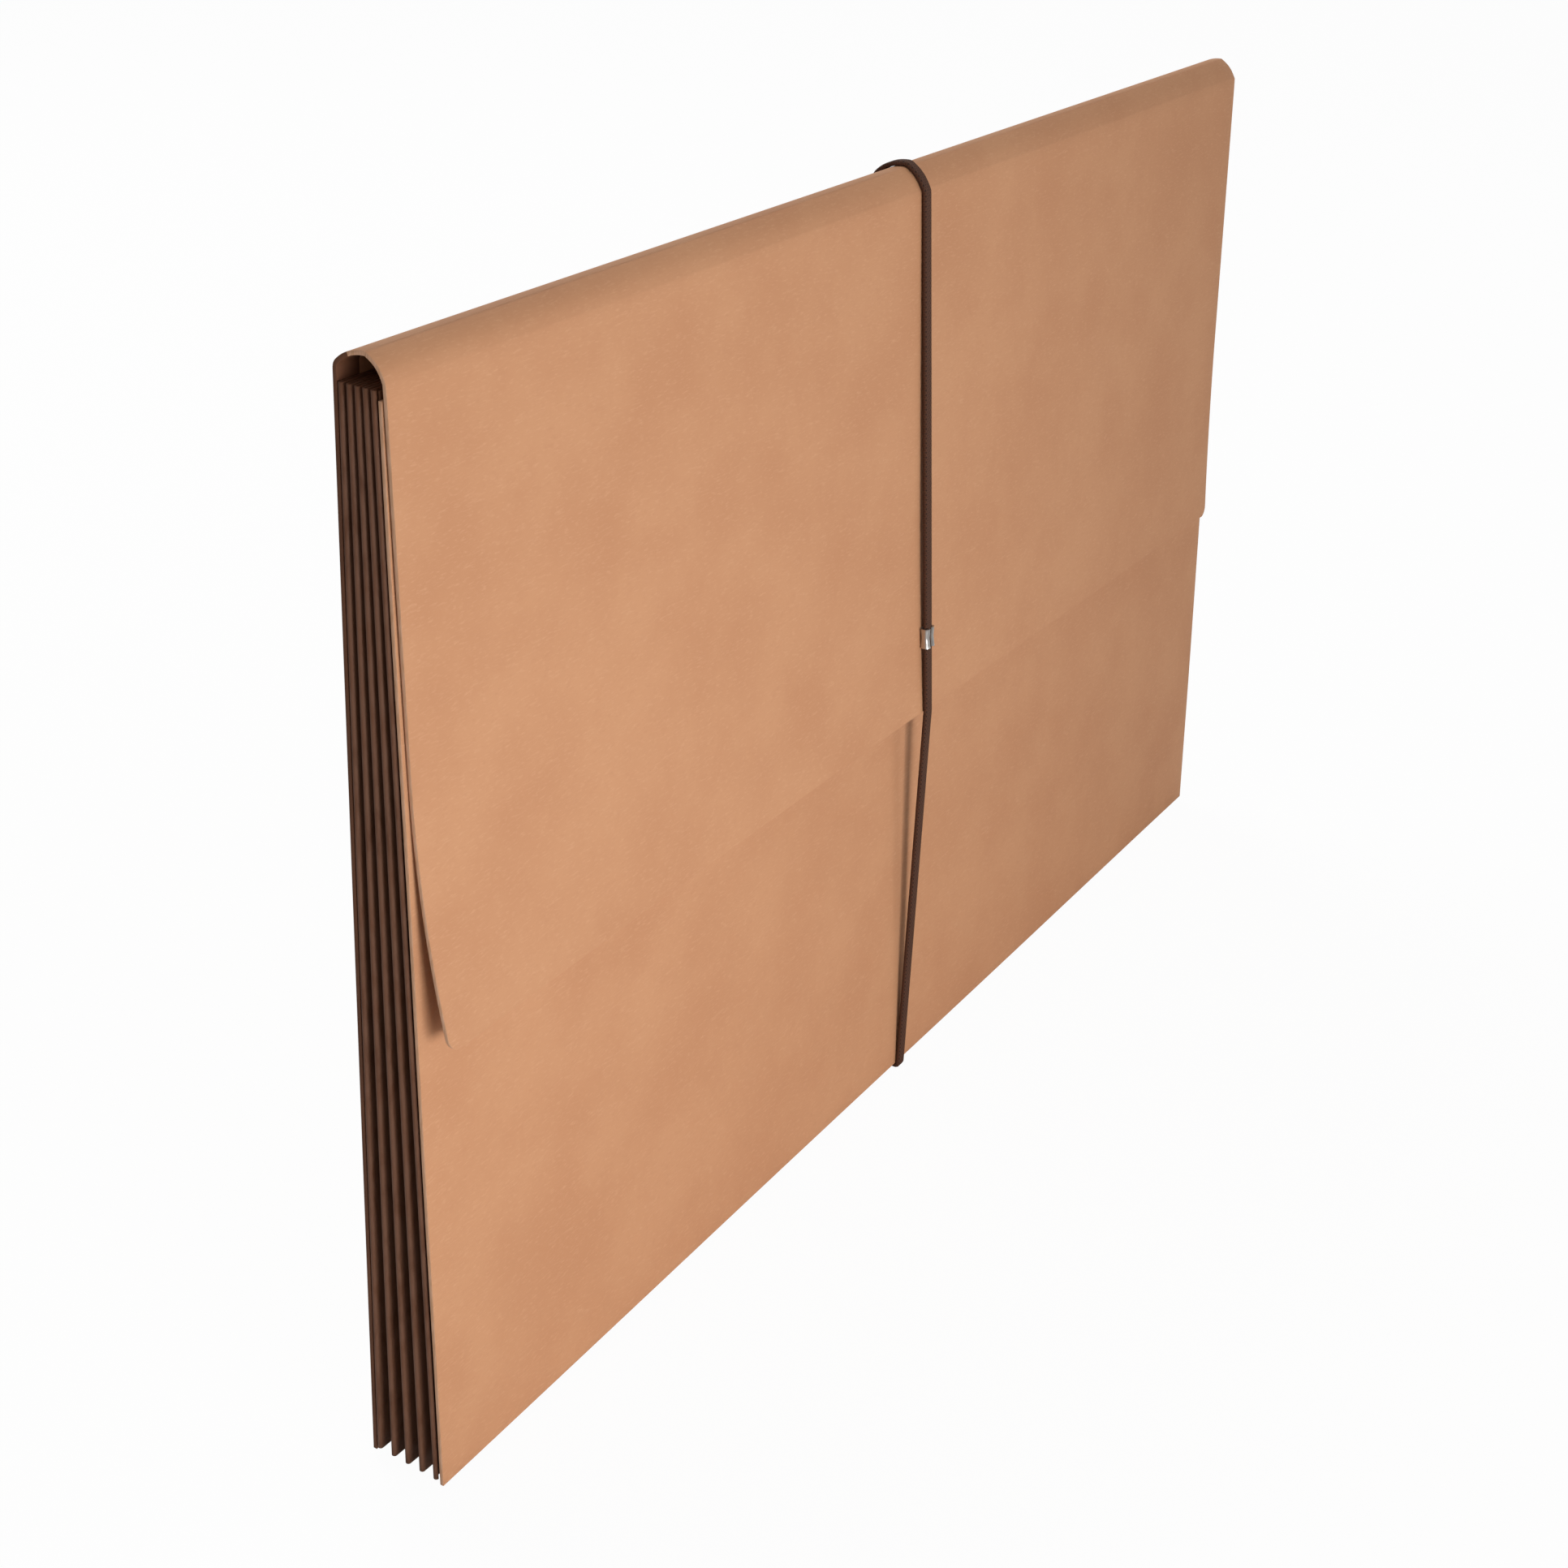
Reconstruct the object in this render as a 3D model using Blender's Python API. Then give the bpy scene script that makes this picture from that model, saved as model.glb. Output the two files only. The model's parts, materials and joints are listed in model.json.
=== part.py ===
"""Expanding file pocket: two boards joined by pleated gussets, a closing flap and an elastic loop.

Metres, +Z up. The pocket stands on its lower edges, with its front board and its flap towards -Y.
Each gusset is folded in and out between the two boards. Every leaf of a gusset turns on its crease,
and equal turns of all the leaves carry the front board straight forward.
"""

import math

import bmesh
import bpy
from mathutils import Matrix, Vector

MM = 0.001

# Boards
BOARD_WIDTH = 375.0 * MM
BOARD_HEIGHT = 241.0 * MM
BOARD_THICKNESS = 0.9 * MM
FRONT_BOARD_DROP = 4.0 * MM
TOP_TAPER = 8.0 * MM

# Gussets
LEAF_DEPTH = 25.0 * MM
LEAF_THICKNESS = 0.5 * MM
LEAF_COUNT = 8
LOW_REST_ANGLE = math.radians(2.6)
TAB_WIDTH = 14.0 * MM
CREASE_GAP = 0.3 * MM
GLUE_GAP = 0.1 * MM
FRONT_SLACK = 0.5 * MM
GUSSET_TOP_DROP = 2.5 * MM
EDGE_INSET = 0.5 * MM

# Flap
FLAP_LENGTH = 143.0 * MM
FLAP_STANDOFF = 0.8 * MM
FLAP_CURL = 4.0 * MM
FLAP_CURL_LENGTH = 62.0 * MM
ROOF_SLOPE = math.radians(50.0)
ROOF_RADIUS = 9.0 * MM
ARC_STEPS = 8
CURL_STEPS = 10

# Elastic loop and its clip
CORD_WIDTH = 3.0 * MM
CORD_THICKNESS = 1.4 * MM
CORD_GAP = 0.3 * MM
CLIP_HEIGHT = 25.0 * MM
CLIP_LENGTH = 5.0 * MM
CLIP_WALL = 0.5 * MM
CLIP_PLAY = 0.3 * MM

# Places that follow from the sizes above
LEAF_PITCH = LEAF_THICKNESS + CREASE_GAP
LEAF_ADVANCE = LEAF_DEPTH * math.sin(LOW_REST_ANGLE) + LEAF_PITCH * math.cos(LOW_REST_ANGLE)
GUSSET_SPAN = LEAF_COUNT * LEAF_ADVANCE
TAB_STACK = BOARD_THICKNESS + GLUE_GAP + LEAF_THICKNESS + CREASE_GAP / 2
BODY_DEPTH = GUSSET_SPAN + 2 * TAB_STACK + FRONT_SLACK
BASE_Z = CORD_GAP + CORD_THICKNESS
TOP_Z = BASE_Z + BOARD_HEIGHT
APEX_Z = (
    TOP_Z
    + CREASE_GAP
    + BOARD_THICKNESS / 2 * math.sin(ROOF_SLOPE)
    + ROOF_RADIUS * (1 - math.cos(ROOF_SLOPE))
)
FLAP_LOW_Z = APEX_Z - FLAP_LENGTH
TAPER_AT_FLAP = TOP_TAPER * (FLAP_LOW_Z - BASE_Z) / BOARD_HEIGHT
FLAP_FRONT_REACH = BODY_DEPTH - TAPER_AT_FLAP + FLAP_STANDOFF + FLAP_CURL + BOARD_THICKNESS
OVERALL_DEPTH = FLAP_FRONT_REACH + 2 * (CORD_GAP + CORD_THICKNESS)
BACK_OUTER_Y = OVERALL_DEPTH / 2 - CORD_GAP - CORD_THICKNESS
FIRST_CREASE_Y = BACK_OUTER_Y - TAB_STACK
LAST_CREASE_Y = FIRST_CREASE_Y - GUSSET_SPAN
FRONT_OUTER_Y = LAST_CREASE_Y - TAB_STACK - FRONT_SLACK

TOP_REST_ANGLE = LOW_REST_ANGLE - TOP_TAPER / LEAF_COUNT / LEAF_DEPTH

RIGHT = Vector((1, 0, 0))
FORWARD = Vector((0, -1, 0))
UP = Vector((0, 0, 1))
LEANING_UP = Vector((0, TOP_TAPER, BOARD_HEIGHT)).normalized()


def clear_scene():
    for old in list(bpy.data.objects):
        bpy.data.objects.remove(old, do_unlink=True)


def new_collection(name):
    made = bpy.data.collections.new(name)
    bpy.context.scene.collection.children.link(made)
    return made


def finish_material(name, colour, roughness, metallic=0.0):
    made = bpy.data.materials.new(name)
    made.use_nodes = True
    shader = made.node_tree.nodes["Principled BSDF"]
    shader.inputs["Base Color"].default_value = (*colour, 1.0)
    shader.inputs["Roughness"].default_value = roughness
    shader.inputs["Metallic"].default_value = metallic
    return made


def basis(first, second, place):
    """Matrix whose local X and Y run along two square directions, at a place."""
    third = first.cross(second)
    turned = Matrix((first, second, third)).transposed().to_4x4()
    return Matrix.Translation(place) @ turned


def hinge_empty(name, matrix, parts):
    empty = bpy.data.objects.new(name, None)
    empty.matrix_world = matrix
    empty.empty_display_size = TAB_WIDTH
    parts.objects.link(empty)
    return empty


def flat_outline(name, points, thickness, material, parts):
    """Sheet with the given outline in its local XY plane, centred on that plane."""
    curve = bpy.data.curves.new(name, "CURVE")
    curve.dimensions = "2D"
    curve.fill_mode = "BOTH"
    curve.extrude = thickness / 2
    spline = curve.splines.new("POLY")
    spline.points.add(len(points) - 1)
    for point, (x, y) in zip(spline.points, points):
        point.co = (x, y, 0, 1)
    spline.use_cyclic_u = True
    curve.materials.append(material)
    made = bpy.data.objects.new(name, curve)
    parts.objects.link(made)
    return made


def rectangle(low_x, low_y, high_x, high_y):
    return [(low_x, low_y), (high_x, low_y), (high_x, high_y), (low_x, high_y)]


def standing_sheet(name, outline, middle_y, upward, thickness, material, parts):
    """Sheet that stands on the base height, with its outline in X and in distance along its upward direction."""
    made = flat_outline(name, outline, thickness, material, parts)
    made.matrix_world = basis(RIGHT, upward, Vector((0, middle_y, BASE_Z)))
    return made


# Boards and the glued tabs of the gussets
def board(name, outer_y, inward, upward, height, material, parts):
    """Board whose outer face is at outer_y and whose thickness runs inward, 1 or -1 along Y."""
    outline = rectangle(-BOARD_WIDTH / 2, 0, BOARD_WIDTH / 2, height)
    middle = outer_y + inward * BOARD_THICKNESS / 2
    return standing_sheet(name, outline, middle, upward, BOARD_THICKNESS, material, parts)


def mitred_strip(depth_near, depth_far, gap):
    """Outlines of the left, right and bottom strips that lie between two depths from the board's edge."""
    left = -BOARD_WIDTH / 2 + EDGE_INSET
    low = EDGE_INSET
    high = BOARD_HEIGHT - GUSSET_TOP_DROP
    side = [
        (left + depth_near, low + depth_near + gap),
        (left + depth_far, low + depth_far + gap),
        (left + depth_far, high),
        (left + depth_near, high),
    ]
    base = [
        (left + depth_near + gap, low + depth_near),
        (-left - depth_near - gap, low + depth_near),
        (-left - depth_far - gap, low + depth_far),
        (left + depth_far + gap, low + depth_far),
    ]
    mirrored = [(-x, z) for x, z in reversed(side)]
    return {"left": side, "right": mirrored, "bottom": base}


def glued_tabs(where, board_inner_y, inward, upward, material, parts):
    """The end strips of the three gussets, glued flat on the inside of one board."""
    middle = board_inner_y + inward * (GLUE_GAP + LEAF_THICKNESS / 2)
    for side, outline in mitred_strip(CREASE_GAP, TAB_WIDTH, CREASE_GAP).items():
        name = f"{side}_gusset_{where}_tab"
        standing_sheet(name, outline, middle, upward, LEAF_THICKNESS, material, parts)


# Gusset leaves
def gusset_sides():
    """For each side: the direction into the pocket, and the place of its outer edge at the base."""
    edge_x = BOARD_WIDTH / 2 - EDGE_INSET
    return {
        "left": (RIGHT, Vector((-edge_x, 0, 0))),
        "right": (-RIGHT, Vector((edge_x, 0, 0))),
        "bottom": (UP, Vector((0, 0, BASE_Z + EDGE_INSET))),
    }


def rest_angle(height):
    """The leaves lie closer together towards the top, where the boards lean in to each other."""
    share = (height - BASE_Z) / BOARD_HEIGHT
    return LOW_REST_ANGLE + (TOP_REST_ANGLE - LOW_REST_ANGLE) * share


def leaf_directions(number, inward, height):
    """Directions along a leaf and square to it, at one height."""
    angle = rest_angle(height)
    across = inward if number % 2 == 1 else -inward
    along = across * math.cos(angle) + FORWARD * math.sin(angle)
    normal = FORWARD * math.cos(angle) - across * math.sin(angle)
    return along, normal


def crease_place(number, inward, edge, height):
    """Place of a crease at one height. The first one is at the back board."""
    place = edge + Vector((0, FIRST_CREASE_Y, 0))
    for passed in range(1, number):
        along, normal = leaf_directions(passed, inward, height)
        place = place + along * LEAF_DEPTH + normal * LEAF_PITCH
    return place


def leaf_ends(side, depth):
    """Low and high end of a leaf at a depth from the outer edge, with mitred lower corners, and their heights."""
    corner = BASE_Z + EDGE_INSET + depth
    if side == "bottom":
        half = BOARD_WIDTH / 2 - EDGE_INSET - depth - CREASE_GAP
        return [(RIGHT * -half, corner), (RIGHT * half, corner)]
    low = corner + CREASE_GAP
    high = TOP_Z - GUSSET_TOP_DROP
    return [(UP * low, low), (UP * high, high)]


def leaf_corners(side, number, inward, edge):
    """The eight corners of a leaf: near and far from its crease, low and high end, back and front face."""
    corners = []
    for distance in (CREASE_GAP / 2, LEAF_DEPTH - CREASE_GAP / 2):
        depth = distance if number % 2 == 1 else LEAF_DEPTH - distance
        for end, height in leaf_ends(side, depth):
            along, normal = leaf_directions(number, inward, height)
            place = crease_place(number, inward, edge, height) + along * distance + end
            for offset in (CREASE_GAP / 2, CREASE_GAP / 2 + LEAF_THICKNESS):
                corners.append(place + normal * offset)
    return corners


def leaf_solid(name, corners, material, parts):
    """Thin closed solid from its eight corners, with its faces turned outward."""
    quads = [(0, 1, 3, 2), (4, 6, 7, 5), (0, 4, 5, 1), (2, 3, 7, 6), (0, 2, 6, 4), (1, 5, 7, 3)]
    made = bmesh.new()
    verts = [made.verts.new(corner) for corner in corners]
    for quad in quads:
        made.faces.new([verts[index] for index in quad])
    bmesh.ops.triangulate(made, faces=made.faces)
    bmesh.ops.recalc_face_normals(made, faces=made.faces)
    mesh = bpy.data.meshes.new(name)
    made.to_mesh(mesh)
    made.free()
    mesh.materials.append(material)
    leaf = bpy.data.objects.new(name, mesh)
    parts.objects.link(leaf)
    return leaf


def pleated_gusset(side, inward, edge, material, parts):
    """Chain of leaves folded in and out from the back board to the front one. Each turns on its own empty."""
    for number in range(1, LEAF_COUNT + 1):
        name = f"{side}_gusset_leaf_{number}"
        low = crease_place(number, inward, edge, BASE_Z)
        high = crease_place(number, inward, edge, TOP_Z) + UP * BOARD_HEIGHT
        crease = RIGHT if side == "bottom" else (high - low).normalized()
        low = low if side == "bottom" else low + UP * BASE_Z
        square = crease.cross(FORWARD).normalized()
        empty = hinge_empty(f"crease_{name}", basis(square, crease, low), parts)
        corners = leaf_corners(side, number, inward, edge)
        to_crease = empty.matrix_world.inverted()
        leaf = leaf_solid(name, [to_crease @ corner for corner in corners], material, parts)
        leaf.parent = empty


# Flap
def arc(centre, radius, start, end, steps):
    """Points of an arc in the YZ plane, with angles from -Y towards +Z."""
    points = []
    for step in range(steps + 1):
        angle = start + (end - start) * step / steps
        points.append((centre[0] - radius * math.cos(angle), centre[1] + radius * math.sin(angle)))
    return points


def hang_y(height):
    """Place of the flap's middle line along Y, where it lies close to the leaning front board."""
    front = FRONT_OUTER_Y + TOP_TAPER * (height - BASE_Z) / BOARD_HEIGHT
    return front - FLAP_STANDOFF - BOARD_THICKNESS / 2


def flap_profiles():
    """Middle lines of the flap's three stretches, as (y, z) points from the back board's top edge."""
    start_y = BACK_OUTER_Y - BOARD_THICKNESS / 2
    apex = (start_y - ROOF_RADIUS * math.sin(ROOF_SLOPE), APEX_Z)
    roof_centre = (apex[0], apex[1] - ROOF_RADIUS)
    right_angle = math.pi / 2
    roof = arc(roof_centre, ROOF_RADIUS, right_angle + ROOF_SLOPE, right_angle, ARC_STEPS)
    fold_start = (apex[0] - CREASE_GAP, apex[1])
    fold_radius = fold_start[0] - hang_y(TOP_Z)
    fold = arc((fold_start[0], apex[1] - fold_radius), fold_radius, right_angle, 0.0, ARC_STEPS)
    hang_top = fold[-1][1] - CREASE_GAP
    hang = [(hang_y(hang_top), hang_top)]
    for step in range(CURL_STEPS + 1):
        share = step / CURL_STEPS
        height = FLAP_LOW_Z + FLAP_CURL_LENGTH * (1 - share)
        hang.append((hang_y(height) - FLAP_CURL * share * share, height))
    return roof, fold, hang


def offset_line(points, distance):
    """The line moved sideways in its plane, to the left of its direction."""
    moved = []
    for index, (y, z) in enumerate(points):
        before = points[max(index - 1, 0)]
        after = points[min(index + 1, len(points) - 1)]
        run = (after[0] - before[0], after[1] - before[1])
        length = math.hypot(*run)
        moved.append((y - run[1] / length * distance, z + run[0] / length * distance))
    return moved


def profile_sheet(name, points, thickness, width, origin, material, parts):
    """Sheet with a curved YZ middle line, drawn out to a width along X, with its origin at a (y, z) place."""
    one_side = offset_line(points, thickness / 2)
    other_side = offset_line(points, -thickness / 2)
    outline = [(y - origin[0], z - origin[1]) for y, z in one_side + other_side[::-1]]
    made = flat_outline(name, outline, width, material, parts)
    made.matrix_world = basis(-FORWARD, UP, Vector((0, *origin)))
    return made


def flap(material, parts):
    """Flap in three stretches. The roof turns just behind the back board's top edge, so it can fold right
    back, and the front turns on the outer face of the rounded fold, so it can be laid flat."""
    roof, fold, hang = flap_profiles()
    back_crease = (BACK_OUTER_Y + CREASE_GAP / 2, TOP_Z + CREASE_GAP / 2)
    front_crease = (hang[0][0] - BOARD_THICKNESS / 2, hang[0][1] + CREASE_GAP / 2)
    profile_sheet("flap_roof", roof, BOARD_THICKNESS, BOARD_WIDTH, back_crease, material, parts)
    profile_sheet("flap_fold", fold, BOARD_THICKNESS, BOARD_WIDTH, fold[0], material, parts)
    profile_sheet("flap_front", hang, BOARD_THICKNESS, BOARD_WIDTH, front_crease, material, parts)


# Elastic loop
def convex_loop(points):
    """Convex outline round (y, z) points, anticlockwise seen along +X."""
    ordered = sorted(set(points))

    def half(sequence):
        chain = []
        for point in sequence:
            while len(chain) > 1:
                (ay, az), (by, bz) = chain[-2], chain[-1]
                if (by - ay) * (point[1] - az) - (bz - az) * (point[0] - ay) > 0:
                    break
                chain.pop()
            chain.append(point)
        return chain[:-1]

    return half(ordered) + half(ordered[::-1])


def corner_points(y, z, outward_y, outward_z):
    """Points of the rounded turn that the loop makes round a board's lower corner."""
    reach = CORD_GAP + CORD_THICKNESS / 2
    points = []
    for step in range(ARC_STEPS // 2 + 1):
        angle = math.pi / 2 * step / (ARC_STEPS // 2)
        points.append((y + outward_y * reach * math.cos(angle), z + outward_z * reach * math.sin(angle)))
    return points


def loop_runs():
    """Middle lines of the loop's four stretches, taut round the closed pocket."""
    reach = BOARD_THICKNESS / 2 + CORD_GAP + CORD_THICKNESS / 2
    touched = []
    for line in flap_profiles():
        touched += offset_line(line, -reach)
        touched += offset_line(line, reach)
    _, fold, hang = flap_profiles()
    tip_y, tip_z = hang[-1]
    touched += corner_points(tip_y, tip_z, -1, -1)
    touched += corner_points(FRONT_OUTER_Y, BASE_Z, -1, -1)
    touched += corner_points(BACK_OUTER_Y, BASE_Z, 1, -1)
    touched += corner_points(BACK_OUTER_Y, TOP_Z, 1, 1)
    loop = convex_loop(touched)
    low = BASE_Z - CORD_GAP
    bottom = [p for p in loop if p[1] < low]
    middle_y = (FRONT_OUTER_Y + BACK_OUTER_Y) / 2
    top_split = fold[-1][1]
    front = [p for p in loop if p[0] < middle_y and low <= p[1] <= top_split]
    back = [p for p in loop if p[0] > middle_y and low <= p[1] <= TOP_Z]
    top = [p for p in loop if p not in bottom and p not in front and p not in back]
    return {
        "bottom": sorted(bottom, key=lambda p: -p[0]),
        "front": sorted(front, key=lambda p: p[1]),
        "top": sorted(top, key=lambda p: p[0]),
        "back": sorted(back, key=lambda p: -p[1]),
    }


def close_up(runs):
    """Lengthens each stretch to meet the next one, less the gap that parts them."""
    order = ["bottom", "front", "top", "back"]
    for name, follower in zip(order, order[1:] + order[:1]):
        end = Vector(runs[name][-1])
        start = Vector(runs[follower][0])
        step = start - end
        if step.length > 2 * CORD_GAP:
            meeting = end + step / 2
            half_gap = step.normalized() * CORD_GAP / 2
            runs[name].append(tuple(meeting - half_gap))
            runs[follower].insert(0, tuple(meeting + half_gap))
    return runs


def elastic_loop(material, parts):
    for name, line in close_up(loop_runs()).items():
        profile_sheet(f"elastic_{name}_run", line, CORD_THICKNESS, CORD_WIDTH, line[0], material, parts)


def clip(material, parts):
    """Bent metal clip that joins the loop's ends, open towards the flap."""
    front = close_up(loop_runs())["front"]
    tip_z = flap_profiles()[2][-1][1]
    centre_z = tip_z + CLIP_HEIGHT
    above = next(p for p in front if p[1] > centre_z)
    below = [p for p in front if p[1] < centre_z][-1]
    along = Vector((0, above[0] - below[0], above[1] - below[1])).normalized()
    share = (centre_z - below[1]) / (above[1] - below[1])
    centre = Vector((0, below[0] + (above[0] - below[0]) * share, centre_z))
    inner_x = CORD_WIDTH / 2 + CLIP_PLAY
    outer_x = inner_x + CLIP_WALL
    inner_y = CORD_THICKNESS / 2 + CLIP_PLAY
    outer_y = inner_y + CLIP_WALL
    foot_y = -CORD_THICKNESS / 2
    outline = [
        (-outer_x, foot_y),
        (-inner_x, foot_y),
        (-inner_x, inner_y),
        (inner_x, inner_y),
        (inner_x, foot_y),
        (outer_x, foot_y),
        (outer_x, outer_y),
        (-outer_x, outer_y),
    ]
    made = flat_outline("elastic_clip", outline, CLIP_LENGTH, material, parts)
    outward = RIGHT.cross(along) * -1
    made.matrix_world = basis(RIGHT, outward, centre)
    return made


def main():
    clear_scene()
    parts = new_collection("expanding_file_pocket")
    kraft = finish_material("kraft_board", (0.62, 0.31, 0.16), 0.75)
    brown = finish_material("gusset_paper", (0.09, 0.04, 0.025), 0.6)
    elastic = finish_material("elastic_braid", (0.07, 0.03, 0.02), 0.8)
    steel = finish_material("clip_steel", (0.75, 0.74, 0.72), 0.3, 1.0)
    board("back_panel", BACK_OUTER_Y, -1, UP, BOARD_HEIGHT, kraft, parts)
    board("front_panel", FRONT_OUTER_Y, 1, LEANING_UP, BOARD_HEIGHT - FRONT_BOARD_DROP, kraft, parts)
    glued_tabs("back", BACK_OUTER_Y - BOARD_THICKNESS, -1, UP, brown, parts)
    glued_tabs("front", FRONT_OUTER_Y + BOARD_THICKNESS, 1, LEANING_UP, brown, parts)
    for side, (inward, edge) in gusset_sides().items():
        pleated_gusset(side, inward, edge, brown, parts)
    flap(kraft, parts)
    elastic_loop(elastic, parts)
    clip(steel, parts)


main()
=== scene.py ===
# %% [markdown]
# # An expanding file pocket
# Two kraft boards are joined by dark pleated gussets. The back board goes on over the mouth as a flap, and an
# elastic loop with a small metal clip keeps it shut. The imported model gives the bodies that move, and every
# visible piece below is drawn on those bodies.

# %% Load the moving frame
import json
import math

import bmesh
import bpy
from mathutils import Matrix, Vector


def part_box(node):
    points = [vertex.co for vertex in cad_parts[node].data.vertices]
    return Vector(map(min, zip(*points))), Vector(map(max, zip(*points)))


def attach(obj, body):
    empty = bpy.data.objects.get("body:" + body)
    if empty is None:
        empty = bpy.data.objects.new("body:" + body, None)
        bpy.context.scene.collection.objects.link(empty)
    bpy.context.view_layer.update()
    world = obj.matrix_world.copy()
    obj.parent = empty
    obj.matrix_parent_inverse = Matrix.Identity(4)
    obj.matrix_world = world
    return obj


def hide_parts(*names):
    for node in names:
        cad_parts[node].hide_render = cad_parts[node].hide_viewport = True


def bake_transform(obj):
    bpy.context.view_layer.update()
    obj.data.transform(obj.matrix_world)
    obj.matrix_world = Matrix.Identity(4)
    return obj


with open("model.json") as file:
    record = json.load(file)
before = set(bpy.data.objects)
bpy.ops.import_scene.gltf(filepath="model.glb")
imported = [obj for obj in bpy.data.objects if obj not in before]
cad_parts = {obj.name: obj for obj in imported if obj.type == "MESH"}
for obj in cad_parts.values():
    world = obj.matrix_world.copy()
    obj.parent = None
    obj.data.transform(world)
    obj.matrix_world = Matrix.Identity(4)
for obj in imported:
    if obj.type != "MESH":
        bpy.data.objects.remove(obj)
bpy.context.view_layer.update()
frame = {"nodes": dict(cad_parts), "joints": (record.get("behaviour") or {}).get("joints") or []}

# %% [markdown]
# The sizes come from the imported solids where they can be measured. The few that can't, such as the pitch of
# the leaves and the bend of the flap, repeat the driving sizes of the part.

# %% Sizes
MM = 0.001
LEAF_DEPTH = 25.0 * MM
LEAF_COUNT = 8
LOW_REST_ANGLE = math.radians(2.6)
TOP_TAPER = 8.0 * MM
PAPER = 0.5 * MM
CREASE_GAP = 0.3 * MM
LEAF_PITCH = PAPER + CREASE_GAP
TAB_WIDTH = 14.0 * MM
BOARD = 0.9 * MM
ROOF_SLOPE = math.radians(50.0)
ROOF_RADIUS = 9.0 * MM
FLAP_CURL = 4.0 * MM
FLAP_STANDOFF = 0.8 * MM
FLAP_CURL_LENGTH = 62.0 * MM

back_low, back_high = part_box("back_panel")
front_low, front_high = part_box("front_panel")
hang_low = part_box("flap_front")[0]
HALF_WIDTH = back_high.x
BASE_Z = back_low.z
TOP_Z = back_high.z
HEIGHT = TOP_Z - BASE_Z
TOP_REST_ANGLE = LOW_REST_ANGLE - TOP_TAPER / LEAF_COUNT / LEAF_DEPTH
BACK_MIDDLE = (back_low.y + back_high.y) / 2
FRONT_MIDDLE = front_low.y + BOARD / 2
CREASES = {joint["name"]: joint for joint in frame["joints"] if "crease" in joint["name"]}
print("creases found", len(CREASES))


# %% [markdown]
# Materials and node trees are sums of many small nodes. A thin wrapper round a socket lets the sums be
# written as plain Python. One method adds any other node, with its settings first and then its sockets.

# %% A socket that can be added and multiplied
class Wire:
    def __init__(self, socket):
        self.socket = socket
        self.tree = socket.id_data

    def node(self, kind, settings=None, sockets=None, output=0):
        return add_node(self.tree, kind, settings, sockets, output)

    def math(self, operation, first, second=None, third=None):
        values = {0: first, 1: second, 2: third}
        given = {place: value for place, value in values.items() if value is not None}
        return self.node("ShaderNodeMath", {"operation": operation}, given)

    def __add__(self, other):
        return self.math("ADD", self, other)

    def __radd__(self, other):
        return self.math("ADD", other, self)

    def __sub__(self, other):
        return self.math("SUBTRACT", self, other)

    def __rsub__(self, other):
        return self.math("SUBTRACT", other, self)

    def __mul__(self, other):
        return self.math("MULTIPLY", self, other)

    def __rmul__(self, other):
        return self.math("MULTIPLY", other, self)

    def __truediv__(self, other):
        return self.math("DIVIDE", self, other)

    def __lt__(self, other):
        return self.math("LESS_THAN", self, other)

    def __gt__(self, other):
        return self.math("GREATER_THAN", self, other)

    def __abs__(self):
        return self.math("ABSOLUTE", self)

    def smooth(self, low, high):
        settings = {"interpolation_type": "SMOOTHSTEP"}
        return self.node("ShaderNodeMapRange", settings, {"Value": self, "From Min": low, "From Max": high})


def add_node(tree, kind, settings=None, sockets=None, output=0):
    made = tree.nodes.new(kind)
    for name, value in (settings or {}).items():
        setattr(made, name, value)
    for name, value in (sockets or {}).items():
        if isinstance(value, Wire):
            tree.links.new(value.socket, made.inputs[name])
        else:
            made.inputs[name].default_value = value
    return Wire(made.outputs[output]) if made.outputs else made


print("wire ready")

# %% [markdown]
# Every finish starts from a Principled shader. The colours of two layers are mixed with a Mix node, because
# a Math node would turn a colour grey. Bump heights are in millimetres and go through one Bump node. Outputs
# are picked by their numbers, and so are inputs whose name a node repeats.

# %% Helpers for finishes
OBJECT_PLACE = 3
ATTRIBUTE_VALUE = 2
COLOUR_FIRST = 6
COLOUR_SECOND = 7
COLOUR_RESULT = 2


def new_finish(name, roughness, **constants):
    made = bpy.data.materials.new(name)
    made.use_nodes = True
    shader = made.node_tree.nodes["Principled BSDF"]
    shader.inputs["Roughness"].default_value = roughness
    for socket, value in constants.items():
        shader.inputs[socket.replace("_", " ")].default_value = value
    place = add_node(made.node_tree, "ShaderNodeTexCoord", output=OBJECT_PLACE)
    return made, shader, place


def stored(finish, name):
    settings = {"attribute_name": name}
    return add_node(finish.node_tree, "ShaderNodeAttribute", settings, None, ATTRIBUTE_VALUE)


def feed(shader, socket, wire):
    shader.id_data.links.new(wire.socket, shader.inputs[socket])


def mix_colour(factor, first, second):
    sockets = {0: factor, COLOUR_FIRST: first, COLOUR_SECOND: second}
    return factor.node("ShaderNodeMix", {"data_type": "RGBA"}, sockets, COLOUR_RESULT)


def stretched(place, scale):
    return place.node("ShaderNodeMapping", None, {"Vector": place, "Scale": scale})


def noise(place, scale, detail=3.0, roughness=0.55):
    sockets = {"Vector": place, "Scale": scale, "Detail": detail, "Roughness": roughness}
    return place.node("ShaderNodeTexNoise", None, sockets)


def bump(shader, height, millimetres, strength=1.0):
    sockets = {"Height": height, "Distance": millimetres * MM, "Strength": strength}
    feed(shader, "Normal", height.node("ShaderNodeBump", None, sockets))


print("finish helpers ready")

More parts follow.
